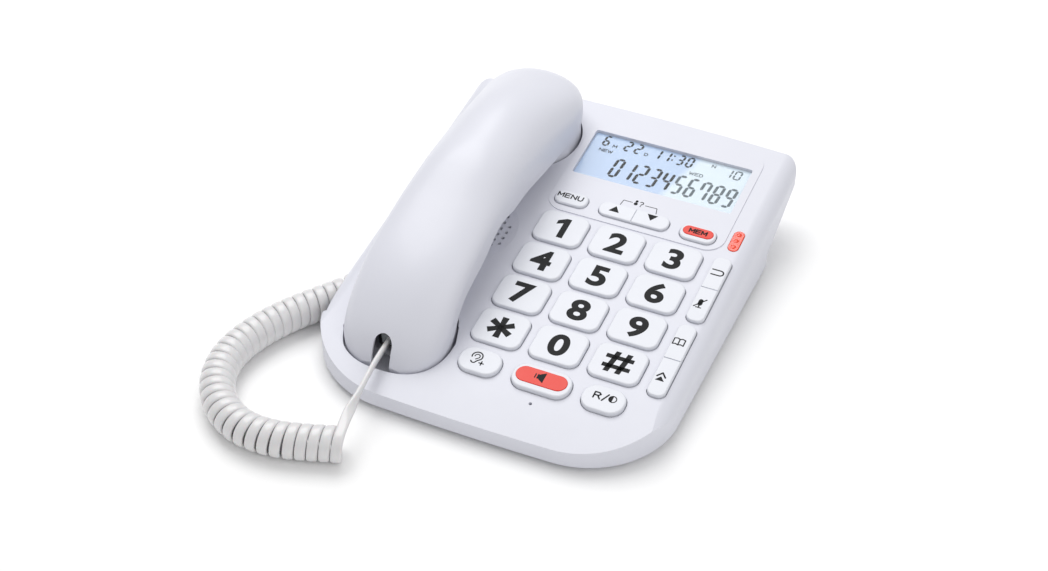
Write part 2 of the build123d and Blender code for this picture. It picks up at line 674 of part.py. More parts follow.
for name, (x, s, width, height, corner) in FUNCTION_KEYS.items():
    with BuildPart() as key:
        add(key_cap(x, s, width, height, corner, 0.9))
        cap = CAPS.get(name + "_cap")
        if cap:
            with BuildSketch(KEYS):
                with Locations(cap[:2]):
                    RectangleRounded(cap[2], cap[3], cap[3] / 2 - 0.01)
            extrude(amount=-1.0, mode=Mode.SUBTRACT)
    save(key.part, name)

for name, (x, s, width, height) in CAPS.items():
    with BuildPart() as cap:
        with BuildSketch(KEYS.offset(-1.0)):
            with Locations((x, s)):
                RectangleRounded(width - 0.1, height - 0.1, height / 2 - 0.06)
        extrude(amount=1.3)
        fillet(faces().sort_by(Axis.Z)[-1].edges(), 0.3)
    save(cap.part, name)

for name, (x, s, width, height, corner) in ROCKERS.items():
    with BuildPart() as rocker:
        add(key_cap(x, s, width, height, corner, 0.7))
        with BuildSketch(KEYS):
            with Locations((x, s)):
                if width > height:
                    Rectangle(0.6, height)
                else:
                    Rectangle(width, 0.6)
        extrude(amount=-0.5, mode=Mode.SUBTRACT)
    save(rocker.part, name)

# ---- handset ------------------------------------------------------------------------------------
NOTCH_WIDTH = 9.2
NOTCH_TOP = 6.0
JACK_MOUTH_S = -98.0
JACK_H = 3.2
HANDSET_SCREWS = (-50.0, 22.0)

# the hollow of the two cups stays inside the form that the cups have
with BuildPart() as cup_rooms:
    with BuildSketch(KEYS.offset(CUP_BOTTOM + HANDSET_WALL)):
        with Locations((HANDSET_X, EAR_S)):
            Circle(EAR_RADIUS - HANDSET_WALL)
        with Locations((HANDSET_X, MOUTH_S)):
            Circle(MOUTH_RADIUS - HANDSET_WALL)
    extrude(amount=18)
    add(handset_grip_form(HANDSET_WALL, 40), mode=Mode.INTERSECT)

with BuildPart() as handset_room:
    add(handset_back_form(HANDSET_WALL, 3.0))
    add(cup_rooms.part)

with BuildPart() as notch:
    with BuildSketch(cross_plane(-125)):
        with Locations((HANDSET_X, NOTCH_TOP - 15)):
            Rectangle(NOTCH_WIDTH, 30)
        with Locations((HANDSET_X, NOTCH_TOP)):
            Circle(NOTCH_WIDTH / 2)
    extrude(amount=-(JACK_MOUTH_S + 125))

with BuildPart() as handset_outer_shell:
    add(handset_back_form(0, 0))
    add(handset_room.part, mode=Mode.SUBTRACT)
    for s in HANDSET_SCREWS:
        boss_low = line_height(PARTING_LINE, s) + 1
        with BuildSketch(KEYS.offset(boss_low)):
            with Locations((HANDSET_X, s)):
                Circle(3.4)
        extrude(amount=line_height(CROWN_LINE, s) - 1.2 - boss_low)
        with BuildSketch(KEYS.offset(boss_low)):
            with Locations((HANDSET_X, s)):
                Circle(1.3)
        extrude(amount=9, mode=Mode.SUBTRACT)
    add(notch.part, mode=Mode.SUBTRACT)
save(handset_outer_shell.part, "handset_outer_shell")

with BuildPart() as handset_cups:
    with BuildSketch(KEYS.offset(CUP_BOTTOM)):
        with Locations((HANDSET_X, EAR_S)):
            Circle(EAR_RADIUS)
        with Locations((HANDSET_X, MOUTH_S)):
            Circle(MOUTH_RADIUS)
    extrude(amount=30)
    add(handset_grip_form(0, 40), mode=Mode.INTERSECT)

with BuildPart() as handset_inner_shell:
    add(handset_grip_form(0, 5))
    add(handset_cups.part)
    add(handset_back_form(0, PARTING_GAP), mode=Mode.SUBTRACT)
    add(handset_room.part, mode=Mode.SUBTRACT)
    # sound holes of the earpiece and of the microphone
    with BuildSketch(KEYS.offset(CUP_BOTTOM)):
        with Locations((HANDSET_X, EAR_S)):
            Circle(1.0)
            with PolarLocations(6, 6):
                Circle(1.0)
            with PolarLocations(11, 12):
                Circle(1.0)
        with Locations((HANDSET_X, MOUTH_S)):
            with GridLocations(4, 0, 3, 1):
                SlotOverall(6, 1.4, rotation=90)
    extrude(amount=4, mode=Mode.SUBTRACT)
    for s in HANDSET_SCREWS:
        underside = line_height(PARTING_LINE, s) - 5.0
        with BuildSketch(KEYS.offset(underside - 3)):
            with Locations((HANDSET_X, s)):
                Circle(1.7)
        extrude(amount=9, mode=Mode.SUBTRACT)
    add(notch.part, mode=Mode.SUBTRACT)
save(handset_inner_shell.part, "handset_inner_shell")

with BuildPart() as handset_screws:
    for s in HANDSET_SCREWS:
        head_low = line_height(PARTING_LINE, s) - 7.5
        with BuildSketch(KEYS.offset(head_low)):
            with Locations((HANDSET_X, s)):
                Circle(2.8)
        extrude(amount=1.2)
        with BuildSketch(KEYS.offset(head_low + 1.2)):
            with Locations((HANDSET_X, s)):
                Circle(1.3)
        extrude(amount=14)
save(handset_screws.part, "handset_screws")

with BuildPart() as earpiece:
    with BuildSketch(KEYS.offset(CUP_BOTTOM + HANDSET_WALL + 0.2)):
        with Locations((HANDSET_X, EAR_S)):
            Circle(17)
    extrude(amount=5)
    with BuildSketch(KEYS.offset(CUP_BOTTOM + HANDSET_WALL + 5.2)):
        with Locations((HANDSET_X, EAR_S)):
            Circle(10)
    extrude(amount=3)
save(earpiece.part, "earpiece")

with BuildPart() as handset_microphone:
    with BuildSketch(KEYS.offset(CUP_BOTTOM + HANDSET_WALL + 0.2)):
        with Locations((HANDSET_X, MOUTH_S)):
            Circle(4.9)
    extrude(amount=4.5)
save(handset_microphone.part, "handset_microphone")

ballast_h = line_height(PARTING_LINE, -34) - 1.5
handset_ballast = rounded_prism(HANDSET_X, -16, 26, 34, 2, ballast_h + 5, ballast_h)
save(handset_ballast, "handset_ballast")


def plug_socket(width, depth, height):
    """A modular socket block about the origin, its mouth at y = 0 facing -y."""
    with BuildPart() as socket:
        with BuildSketch(Plane.XZ):
            Rectangle(width, height)
        extrude(amount=-depth)
        with BuildSketch(Plane.XZ):
            Rectangle(PLUG_SIZE[0] + 0.3, PLUG_SIZE[2] + 0.3)
        extrude(amount=-(PLUG_SIZE[1] + 0.4), mode=Mode.SUBTRACT)
    return socket.part


def cord_plug(out):
    """A modular plug about the origin, its tail at y = -out and its latch on top."""
    with BuildPart() as plug:
        with BuildSketch(Plane.XZ.offset(out)):
            Rectangle(PLUG_SIZE[0], PLUG_SIZE[2] - 0.6)
        extrude(amount=-PLUG_SIZE[1])
        chamfer(edges().filter_by(Axis.X).group_by(Axis.Y)[-1], 0.6)
        with BuildSketch(Plane.YZ.offset(-1.6)):
            with BuildLine():
                top = PLUG_SIZE[2] / 2 - 0.3
                Polyline((-out + 1, top - 0.3), (-out + 10, top - 0.3), (-out + 10, top + 0.1),
                         (-out + 1, top + 0.25), close=True)
            make_face()
        extrude(amount=3.2)
    return plug.part


handset_jack_plane = Plane(origin=slope_point(HANDSET_X, JACK_MOUTH_S, JACK_H), x_dir=(1, 0, 0),
                           z_dir=(0, -SIN_T, COS_T))
handset_jack = handset_jack_plane * Pos(0, 0.1, 0) * plug_socket(11, 14, 9.6)
save(handset_jack, "handset_jack")
cord_plug_handset = handset_jack_plane * cord_plug(0)
save(cord_plug_handset, "cord_plug_handset")

base_jack_place = Pos(BASE_JACK_X, RECESS[0][1][1] + 0.1, BASE_JACK_Z)
save(base_jack_place * plug_socket(11, 14, 9.6), "base_handset_jack")
save(base_jack_place * cord_plug(2), "cord_plug_base")

# ---- curly cord -----------------------------------------------------------------------------------
# The straight lead from the handset's notch over the rim to the coil's near end.
LEAD_ROUTE = [slope_point(HANDSET_X, JACK_MOUTH_S - 0.4, JACK_H), (-45.5, -92.5, 20.6), (-45.3, -105.5, 17.4),
              (-44.8, -118.5, 14.8), (-43.2, -129.8, 13.3), (-41.8, -137.5, 12.6)]
# The coil lies on the table in a half loop, from in front of the handset to the recess.
COIL_ROUTE = [(-40.5, -139.0, CORD_Z), (-54.0, -143.8, CORD_Z), (-70.5, -148.6, CORD_Z),
              (-87.5, -148.0, CORD_Z), (-102.5, -139.5, CORD_Z), (-112.5, -125.5, CORD_Z),
              (-116.0, -108.5, CORD_Z), (-112.0, -90.0, CORD_Z), (-104.0, -73.5, CORD_Z),
              (-94.5, -59.5, CORD_Z), (-85.5, -47.0, CORD_Z)]
# The short end between the coil and the plug in the base.
TAIL_ROUTE = [COIL_ROUTE[-1], (-80.2, -39.6, 9.2), (BASE_JACK_X, RECESS[0][1][1] + 0.1 - 2, BASE_JACK_Z)]


def corner_radii(route):
    """As large an arc at each corner as its two runs allow."""
    points = [Vector(*p) for p in route]
    radii = []
    for before, corner, after in zip(points, points[1:], points[2:]):
        turn = radians((corner - before).get_angle(after - corner))
        shorter = min((corner - before).length, (after - corner).length)
        radii.append(0.45 * shorter / tan(turn / 2))
    return radii


def cord_tube(route, diameter, name):
    """A round tube along straight runs joined by tangent arcs."""
    radii = corner_radii(route)
    with BuildPart() as tube:
        with BuildLine() as path:
            FilletPolyline(*route, radius=radii)
        with BuildSketch(Plane(origin=path.line @ 0, z_dir=path.line % 0)):
            Circle(diameter / 2)
        sweep()
    length = sum(edge.length for edge in path.line.edges())
    share = tube.part.volume / (pi * diameter ** 2 / 4 * length)
    print(name, "length", round(length, 1), "volume share", round(share, 4))
    print("radii", [round(r, 1) for r in radii])
    return tube.part


CORDS = (("cord_lead", LEAD_ROUTE, LEAD_DIAMETER), ("cord_coil", COIL_ROUTE, COIL_DIAMETER),
         ("cord_tail", TAIL_ROUTE, LEAD_DIAMETER))
for name, route, diameter in CORDS:
    save(cord_tube(route, diameter, name), name)
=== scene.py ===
"""The looks of a corded desk phone with big keys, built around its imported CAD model.

The row frame is in metres: +X right, +Y rear, +Z up. The "slope frame" is in millimetres: x as in the
row, s up the sloping key face, h square to it, with its origin level with the key tops in the row of
the keys 1, 2 and 3.
"""
from math import cos, pi, radians, sin, sqrt, tau

import bpy
import numpy as np
from mathutils import Matrix, Vector


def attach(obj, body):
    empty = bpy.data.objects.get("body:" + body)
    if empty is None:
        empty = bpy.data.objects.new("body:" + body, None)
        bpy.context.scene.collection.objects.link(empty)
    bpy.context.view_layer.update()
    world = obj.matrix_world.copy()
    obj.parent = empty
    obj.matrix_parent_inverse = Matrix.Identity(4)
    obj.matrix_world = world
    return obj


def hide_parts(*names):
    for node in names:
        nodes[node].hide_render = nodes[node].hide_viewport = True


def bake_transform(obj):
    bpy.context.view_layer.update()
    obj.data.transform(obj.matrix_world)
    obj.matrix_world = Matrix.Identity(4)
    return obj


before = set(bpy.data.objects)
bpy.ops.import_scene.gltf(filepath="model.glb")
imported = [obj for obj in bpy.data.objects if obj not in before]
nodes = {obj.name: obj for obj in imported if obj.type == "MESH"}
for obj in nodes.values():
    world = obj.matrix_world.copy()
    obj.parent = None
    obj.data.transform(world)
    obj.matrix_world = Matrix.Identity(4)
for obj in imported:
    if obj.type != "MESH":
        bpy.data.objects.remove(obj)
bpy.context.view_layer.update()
scene = bpy.context.scene

MM = 0.001
TILT = radians(6.65)
KEY_ORIGIN = Vector((0, 15, 30)) * MM
UP_SLOPE = Vector((0, cos(TILT), sin(TILT)))
OFF_SLOPE = Vector((0, -sin(TILT), cos(TILT)))

# Takes a point of the slope frame to the row frame.
SLOPE = Matrix.Translation(KEY_ORIGIN) @ Matrix((
    (MM, 0, 0, 0), (0, UP_SLOPE.y * MM, OFF_SLOPE.y * MM, 0),
    (0, UP_SLOPE.z * MM, OFF_SLOPE.z * MM, 0), (0, 0, 0, 1)))


# ---- camera -----------------------------------------------------------------------------------
LENS = 63.55
SENSOR_WIDTH = 36.0
CAMERA_PLACE = (0.26726, -0.62559, 0.59016)
CAMERA_RIGHT = Vector((0.911341, 0.411652, 0.0))
CAMERA_UP = Vector((-0.268254, 0.593879, 0.758517))
CAMERA_BACK = Vector((0.312245, -0.691268, 0.651654))


def make_camera():
    data = bpy.data.cameras.new("camera")
    data.sensor_width = SENSOR_WIDTH
    data.lens = LENS
    camera = bpy.data.objects.new("camera", data)
    scene.collection.objects.link(camera)
    turn = Matrix((CAMERA_RIGHT, CAMERA_UP, CAMERA_BACK)).transposed().to_4x4()
    camera.matrix_world = Matrix.Translation(CAMERA_PLACE) @ turn
    scene.camera = camera


make_camera()


# ---- materials --------------------------------------------------------------------------------
CLOUD_SCALE = 35
SMUDGE_SCALE = 120
ROUGHNESS_SPREAD = 0.05
LEAST_ROUGHNESS = 0.02
COAT_ROUGHNESS = 0.15
SUBSURFACE_SCALE = 0.002
GRAIN_RELIEF = 0.1


def srgb(r, g, b):
    """A colour picked on the 0 to 255 scale, as the shader's linear numbers."""
    def linear(v):
        v /= 255
        return v / 12.92 if v <= 0.04045 else ((v + 0.055) / 1.055) ** 2.4
    return (linear(r), linear(g), linear(b), 1.0)


def surface(name, colour, roughness, grain=0.25, bump=0.05, mottle=0.02, coat=0.0, subsurface=0.0,
            metallic=0.0, alpha=1.0, emission=0.0):
    """A moulded material: mottled colour, uneven roughness and a fine grain of that size in mm."""
    material = bpy.data.materials.new(name)
    material.use_nodes = True
    tree = material.node_tree
    shader = tree.nodes["Principled BSDF"]
    shader.inputs["Metallic"].default_value = metallic
    shader.inputs["Coat Weight"].default_value = coat
    shader.inputs["Coat Roughness"].default_value = COAT_ROUGHNESS
    shader.inputs["Subsurface Weight"].default_value = subsurface
    shader.inputs["Subsurface Scale"].default_value = SUBSURFACE_SCALE
    shader.inputs["Alpha"].default_value = alpha
    place = tree.nodes.new("ShaderNodeTexCoord")

    def noise(scale, detail):
        node = tree.nodes.new("ShaderNodeTexNoise")
        node.inputs["Scale"].default_value = scale
        node.inputs["Detail"].default_value = detail
        tree.links.new(place.outputs["Object"], node.inputs["Vector"])
        return node

    cloud = noise(CLOUD_SCALE, 3)
    mix = tree.nodes.new("ShaderNodeMix")
    mix.data_type = "RGBA"
    mix.inputs["A"].default_value = [c * (1 - mottle) for c in colour[:3]] + [1]
    mix.inputs["B"].default_value = [min(1, c * (1 + mottle)) for c in colour[:3]] + [1]
    tree.links.new(cloud.outputs["Fac"], mix.inputs["Factor"])
    tree.links.new(mix.outputs["Result"], shader.inputs["Base Color"])
    rough = tree.nodes.new("ShaderNodeMapRange")
    rough.inputs["To Min"].default_value = max(LEAST_ROUGHNESS, roughness - ROUGHNESS_SPREAD)
    rough.inputs["To Max"].default_value = roughness + ROUGHNESS_SPREAD
    smudge = noise(SMUDGE_SCALE, 2)
    tree.links.new(smudge.outputs["Fac"], rough.inputs["Value"])
    tree.links.new(rough.outputs["Result"], shader.inputs["Roughness"])
    fine = noise(1000 / grain, 2)
    relief = tree.nodes.new("ShaderNodeBump")
    relief.inputs["Strength"].default_value = bump
    relief.inputs["Distance"].default_value = grain * GRAIN_RELIEF * MM
    tree.links.new(fine.outputs["Fac"], relief.inputs["Height"])
    tree.links.new(relief.outputs["Normal"], shader.inputs["Normal"])
    if emission:
        tree.links.new(mix.outputs["Result"], shader.inputs["Emission Color"])
        shader.inputs["Emission Strength"].default_value = emission
    return material


WHITE = srgb(219, 220, 229)
shell_white = surface("shell white", WHITE, 0.42, grain=0.35, bump=0.25, mottle=0.008, coat=0.06)
handset_white = surface("handset white", WHITE, 0.38, grain=0.35, bump=0.2, mottle=0.008, coat=0.1)
key_white = surface("key white", srgb(222, 224, 231), 0.36, grain=0.3, bump=0.15, mottle=0.008, coat=0.1)
ink = surface("legend ink", srgb(6, 8, 12), 0.75, grain=0.2, bump=0.1, mottle=0.1)
red_plastic = surface("red cap", srgb(226, 46, 22), 0.42, grain=0.3, bump=0.1, mottle=0.04, coat=0.1)
lamp_orange = surface("call lamp", srgb(226, 66, 30), 0.18, grain=0.8, bump=0.1, mottle=0.15, coat=0.6,
                      subsurface=0.4, emission=0.1)
cord_vinyl = surface("cord vinyl", srgb(222, 221, 222), 0.3, grain=0.5, bump=0.05, mottle=0.01, coat=0.3,
                     subsurface=0.05)
rubber = surface("foot rubber", srgb(70, 70, 74), 0.8, grain=0.4, bump=0.4, mottle=0.1)
steel = surface("screw steel", srgb(178, 180, 186), 0.3, grain=0.15, bump=0.15, mottle=0.1, metallic=1.0)
board_green = surface("circuit board", srgb(18, 82, 40), 0.35, grain=1.2, bump=0.3, mottle=0.25, coat=0.3)
cell_wrap = surface("cell wrap", srgb(52, 88, 150), 0.25, grain=2.0, bump=0.05, mottle=0.15, coat=0.4)
black_plastic = surface("black plastic", srgb(26, 27, 30), 0.5, grain=0.3, bump=0.3, mottle=0.15)
clear_plug = surface("plug polycarbonate", srgb(214, 220, 224), 0.12, grain=1.5, bump=0.05, mottle=0.05,
                     alpha=0.55)
lcd_segment_dark = surface("segment dark", srgb(6, 8, 12), 0.6, mottle=0.05)
# Grey segments: dark segments with painted glare over them, at the display's right.
lcd_segment_grey_under_glare = surface("segment grey", srgb(92, 104, 110), 0.6, mottle=0.05)
window_clear = surface("window clear", srgb(235, 243, 250), 0.06, grain=3.0, bump=0.02, mottle=0.01,
                       alpha=0.03)


def paint(material, *names):
    """Gives the named nodes that one material."""
    for name in names:
        obj = nodes[name]
        obj.data.materials.clear()
        obj.data.materials.append(material)


DIGIT_NAMES = [*"123456789", "star", "0", "hash"]
paint(shell_white, "base_top_shell", "base_bottom_shell", "battery_door", "hook_plunger", "lcd_backlight")
paint(handset_white, "handset_outer_shell", "handset_inner_shell")
paint(key_white, *(f"key_{n}" for n in DIGIT_NAMES), "menu_key", "memory_key", "volume_boost_key",
      "speaker_key", "recall_key", "navigation_rocker", "side_rocker_rear", "side_rocker_front")
paint(rubber, "rubber_feet", "keypad_mat")
paint(steel, "base_screws", "battery_door_screw", "handset_screws", "battery_contacts", "handset_ballast")
paint(board_green, "main_pcb")
paint(cell_wrap, "batteries")
paint(window_clear, "display_window")
paint(lamp_orange, "call_lamp_lens")
paint(red_plastic, "memory_key_cap", "speaker_key_cap")
paint(clear_plug, "cord_plug_handset", "cord_plug_base")
paint(black_plastic, "loudspeaker", "handsfree_microphone", "hook_switch", "ringer_switch",
      "ringer_switch_body", "line_jack", "base_handset_jack", "handset_jack", "earpiece",
      "handset_microphone")


# ---- mesh helpers -----------------------------------------------------------------------------
def new_mesh(name, points, faces, material, matrix=None):
    """An object in the scene, with its points taken through the matrix if there is one."""
    mesh = bpy.data.meshes.new(name)
    mesh.from_pydata([tuple(p) for p in points], [], faces)
    if matrix is not None:
        mesh.transform(matrix)
    mesh.update()
    mesh.materials.append(material)
    obj = bpy.data.objects.new(name, mesh)
    scene.collection.objects.link(obj)
    return obj


def smooth(obj, angle):
    """Shades the object smooth, apart from edges sharper than the angle."""
    for face in obj.data.polygons:
        face.use_smooth = True
    obj.data.set_sharp_from_angle(angle=angle)
    return obj


# ---- curly cord -------------------------------------------------------------------------------
COIL_Z = 8.4
COIL_RADIUS = 8.3
CORD_WIDTH = 5.0
CORD_THICK = 2.4
TURNS = 32
STEPS_PER_TURN = 30
LEAD_POINTS = 70
TAIL_POINTS = 24
SECTION_POINTS = 16
# Under 1 makes the strand's section squarer than an ellipse, across its width and its thickness.
WIDTH_POWER = 0.62
THICK_POWER = 0.8
LEAD_EDGE_UP = (0.25, 0.0, 1.0)
TWIST_START = 0.45
LEAD_RUN_IN = 9
TAIL_RUN_OUT = 5
COIL_ROUTE = [(-40.5, -139.0), (-54.0, -143.8), (-70.5, -148.6), (-87.5, -148.0), (-102.5, -139.5),
              (-112.5, -125.5), (-116.0, -108.5), (-112.0, -90.0), (-104.0, -73.5), (-94.5, -59.5),
              (-85.5, -47.0)]
HANDSET_PLUG = (-45.3, -83.1, 21.8)
LEAD_ROUTE = [(-45.5, -92.5, 20.8), (-45.0, -105.5, 18.6), (-43.6, -119.0, 17.0)]
BASE_PLUG = (-78.0, -31.4, 10.1)


def nurbs_points(points):
    """Points along the smooth line of a route, in its own units."""
    curve = bpy.data.curves.new("route", "CURVE")
    curve.dimensions = "3D"
    curve.resolution_u = 20
    spline = curve.splines.new("NURBS")
    spline.points.add(len(points) - 1)
    for place, point in zip(spline.points, points):
        place.co = (*point, 1.0)
    spline.order_u = 3
    spline.use_endpoint_u = True
    obj = bpy.data.objects.new("route", curve)
    line = np.array([v.co for v in bpy.data.meshes.new_from_object(obj).vertices])
    bpy.data.objects.remove(obj)
    return line


def evenly(line, count):
    """The line again with that many points, evenly spaced along it."""
    gone = np.concatenate([[0], np.cumsum(np.linalg.norm(np.diff(line, axis=0), axis=1))])
    wanted = np.linspace(0, gone[-1], count)
    return np.stack([np.interp(wanted, gone, line[:, k]) for k in range(3)], 1)


def unit(v):
    return v / np.linalg.norm(v, axis=-1, keepdims=True)


def helix():
    """The cord's centreline round the coil, and the coil's own direction at each of its points."""
    axis = evenly(nurbs_points([(x, y, COIL_Z) for x, y in COIL_ROUTE]), TURNS * STEPS_PER_TURN + 1)
    along = unit(np.gradient(axis, axis=0))
    front = np.cross(along, (0, 0, 1.0))
    turn = tau * np.arange(len(axis)) / STEPS_PER_TURN
    radius = COIL_RADIUS - CORD_THICK / 2
    out = np.cos(turn)[:, None] * np.array((0, 0, 1.0)) - np.sin(turn)[:, None] * front
    return axis + radius * out, along


coil_line, coil_along = helix()
into_coil = unit(coil_line[1] - coil_line[0])
out_of_coil = unit(coil_line[-1] - coil_line[-2])
lead = evenly(nurbs_points([HANDSET_PLUG, *LEAD_ROUTE, tuple(coil_line[0] - LEAD_RUN_IN * into_coil),
                            tuple(coil_line[0])]), LEAD_POINTS)
tail = evenly(nurbs_points([tuple(coil_line[-1]), tuple(coil_line[-1] + TAIL_RUN_OUT * out_of_coil),
                            (BASE_PLUG[0], BASE_PLUG[1] - TAIL_RUN_OUT, BASE_PLUG[2]), BASE_PLUG]),
              TAIL_POINTS)
cord_line = np.concatenate([lead[:-1], coil_line, tail[1:]])


def width_directions():
    """Which way the flat cord's width points: edge up along the lead, then along the coil."""
    share = np.linspace(0, 1, len(lead) - 1)
    share = np.clip((share - TWIST_START) / (1 - TWIST_START), 0, 1)[:, None]
    share = share * share * (3 - 2 * share)
    first = (1 - share) * np.array(LEAD_EDGE_UP) + share * coil_along[0]
    share = np.linspace(0, 1, len(tail) - 1)[:, None]
    last = (1 - share) * coil_along[-1] + share * np.array((1.0, 0, 0))
    return np.concatenate([first, coil_along, last])


def make_cord():
    """Sweeps the flat strand along the whole cord and stands it in for the three packed tubes."""
    heading = unit(np.gradient(cord_line, axis=0))
    wide = width_directions()
    wide = unit(wide - heading * (wide * heading).sum(1, keepdims=True))
    thick = np.cross(heading, wide)
    angles = tau * np.arange(SECTION_POINTS) / SECTION_POINTS
    reach = [(np.sign(cos(a)) * abs(cos(a)) ** WIDTH_POWER * CORD_WIDTH / 2,
              np.sign(sin(a)) * abs(sin(a)) ** THICK_POWER * CORD_THICK / 2) for a in angles]
    points = [centre + w * p + t * q
              for centre, w, t in zip(cord_line, wide, thick) for p, q in reach]
    faces = []
    rings = len(cord_line)
    for ring in range(rings - 1):
        for k in range(SECTION_POINTS):
            low, next_k = ring * SECTION_POINTS, (k + 1) % SECTION_POINTS
            high = low + SECTION_POINTS
            faces.append((low + k, high + k, high + next_k, low + next_k))
    faces.append(tuple(range(SECTION_POINTS)))
    faces.append(tuple(reversed(range((rings - 1) * SECTION_POINTS, rings * SECTION_POINTS))))
    cord = smooth(new_mesh("curly_cord", points, faces, cord_vinyl, Matrix.Scale(MM, 4)), radians(60))
    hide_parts("cord_lead", "cord_coil", "cord_tail")
    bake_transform(cord)


make_cord()


# ---- printed legends --------------------------------------------------------------------------
INK_THICK = 0.04
INK_SINK = 0.05
JOINT_POINTS = 10
FONT_DEPTH = 0.01
DIGIT_HEIGHT = 13.2
DIGIT_WEIGHT = 0.035
DIGIT_STRETCH = 1.12
LETTER_GAP = 0.36


def join_shapes(shapes):
    """Lists of 2-D outlines, filled, as one set of points and faces."""
    points, faces = [], []
    for outline in shapes:
        faces.append(tuple(range(len(points), len(points) + len(outline))))
        points += outline
    return points, faces


def stroke(path, width):
    """A line of that width through the points, as filled outlines with round joints."""
    shapes = []
    for (x0, y0), (x1, y1) in zip(path, path[1:]):
        run = sqrt((x1 - x0) ** 2 + (y1 - y0) ** 2)
        nx, ny = -(y1 - y0) / run * width / 2, (x1 - x0) / run * width / 2
        shapes.append([(x0 - nx, y0 - ny), (x1 - nx, y1 - ny), (x1 + nx, y1 + ny), (x0 + nx, y0 + ny)])
    for x, y in path:
        shapes.append(disc(x, y, width / 2, JOINT_POINTS))
    return shapes


def disc(x, y, radius, count=24):
    return [(x + radius * cos(tau * k / count), y + radius * sin(tau * k / count)) for k in range(count)]


def arc(x, y, radius, start, end, count=14):
    return [(x + radius * cos(radians(start + (end - start) * k / count)),
             y + radius * sin(radians(start + (end - start) * k / count))) for k in range(count + 1)]


def legend(name, body, shapes, x, s, h, material=ink, thick=INK_THICK):
    """Flat shapes, in mm about (x, s), printed on a face at height h."""
    points, faces = join_shapes(shapes)
    count = len(points)
    solid = [(x + px, s + ps, level) for level in (h + thick, h - INK_SINK) for px, ps in points]
    sides = []
    for face in faces:
        for a, b in zip(face, face[1:] + face[:1]):
            sides.append((a, a + count, b + count, b))
    below = [tuple(a + count for a in reversed(face)) for face in faces]
    obj = new_mesh(name, solid, faces + sides + below, material, SLOPE)
    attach(obj, body)


def glyph(name, body, text, x, s):
    """A big digit as a thin solid, centred at (x, s) on a key's top."""
    curve = bpy.data.curves.new(name, "FONT")
    curve.body = text
    curve.align_x = "CENTER"
    curve.offset = DIGIT_WEIGHT
    curve.extrude = FONT_DEPTH
    curve.resolution_u = 8
    obj = bpy.data.objects.new(name, curve)
    mesh = bpy.data.meshes.new_from_object(obj)
    bpy.data.objects.remove(obj)
    co = np.array([v.co for v in mesh.vertices])
    low, high = co.min(0), co.max(0)
    scale = DIGIT_HEIGHT / (high[1] - low[1])
    size = Matrix.Diagonal((scale * DIGIT_STRETCH, scale, INK_THICK / FONT_DEPTH, 1))
    place = Matrix.Translation((x, s, 0.0)) @ size
    middle = Matrix.Translation((-(low[0] + high[0]) / 2, -(low[1] + high[1]) / 2, 0))
    mesh.transform(SLOPE @ place @ middle)
    mesh.materials.clear()
    mesh.materials.append(ink)
    made = bpy.data.objects.new(name, mesh)
    scene.collection.objects.link(made)
    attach(made, body)


# Strokes of the capitals, as multiples of their height.
LETTERS = {
    "M": [[(0, 0), (0, 1), (0.5, 0.3), (1, 1), (1, 0)]],
    "E": [[(0.85, 1), (0, 1), (0, 0), (0.85, 0)], [(0, 0.52), (0.75, 0.52)]],
    "N": [[(0, 0), (0, 1), (0.9, 0), (0.9, 1)]],
    "U": [[(0, 1), (0, 0.3), (0.2, 0), (0.7, 0), (0.9, 0.3), (0.9, 1)]],
    "W": [[(0, 1), (0.28, 0), (0.6, 0.8), (0.92, 0), (1.2, 1)]],
    "D": [[(0, 0), (0, 1), (0.5, 1), (0.85, 0.7), (0.85, 0.3), (0.5, 0)], [(0.5, 0), (0, 0)]],
    "R": [[(0, 0), (0, 1), (0.6, 1), (0.85, 0.78), (0.6, 0.5), (0, 0.5)], [(0.5, 0.5), (0.9, 0)]],
    "/": [[(0, -0.1), (0.6, 1.1)]]}


def word(name, body, text, x, s, h, height, width, material=ink):
    """A word in plain strokes of that width, centred at (x, s)."""
    shapes, pen = [], 0.0
    for letter in text:
        for path in LETTERS[letter]:
            shapes += stroke([(pen + px * height, py * height) for px, py in path], width)
        pen += (max(px for path in LETTERS[letter] for px, _ in path) + LETTER_GAP) * height
    middle = (pen - LETTER_GAP * height) / 2
    shapes = [[(px - middle, py - height / 2) for px, py in outline] for outline in shapes]
    legend(name, body, shapes, x, s, h, material)


ONE = [(0.7, 6.6), (-3.2, 4.3), (-3.2, 1.7), (0.0, 3.1), (0.0, -6.6), (3.1, -6.6), (3.1, 6.6)]
COLUMN_PITCH, ROW_PITCH, KEYPAD_X = 29.0, 23.2, -2.5
STAR_RADIUS = 6.4
HASH_SIZE = 12.6
BAR_WIDTH = 2.6
HASH_SLANT = 1.0


def star_shapes(radius, width):
    """Six arms that widen outwards."""
    shapes = []
    tip, root = width * 0.62, width * 0.45
    for k in range(6):
        angle = pi / 2 + k * pi / 3
        c, q = cos(angle), sin(angle)
        shapes.append([(-q * root, c * root), (c * radius - q * tip, q * radius + c * tip),
                       (c * radius + q * tip, q * radius - c * tip), (q * root, -c * root)])
    return shapes


def hash_shapes(size, width, slant):
    """Two slanted bars and two level ones."""
    shapes = []
    reach, thin = size * 0.53, width * 0.45
    for off in (-size * 0.22, size * 0.22):
        shapes.append([(off - width / 2 - slant, -size / 2), (off + width / 2 - slant, -size / 2),
                       (off + width / 2 + slant, size / 2), (off - width / 2 + slant, size / 2)])
        shapes.append([(-reach, off - thin), (reach, off - thin), (reach, off + thin), (-reach, off + thin)])
    return shapes


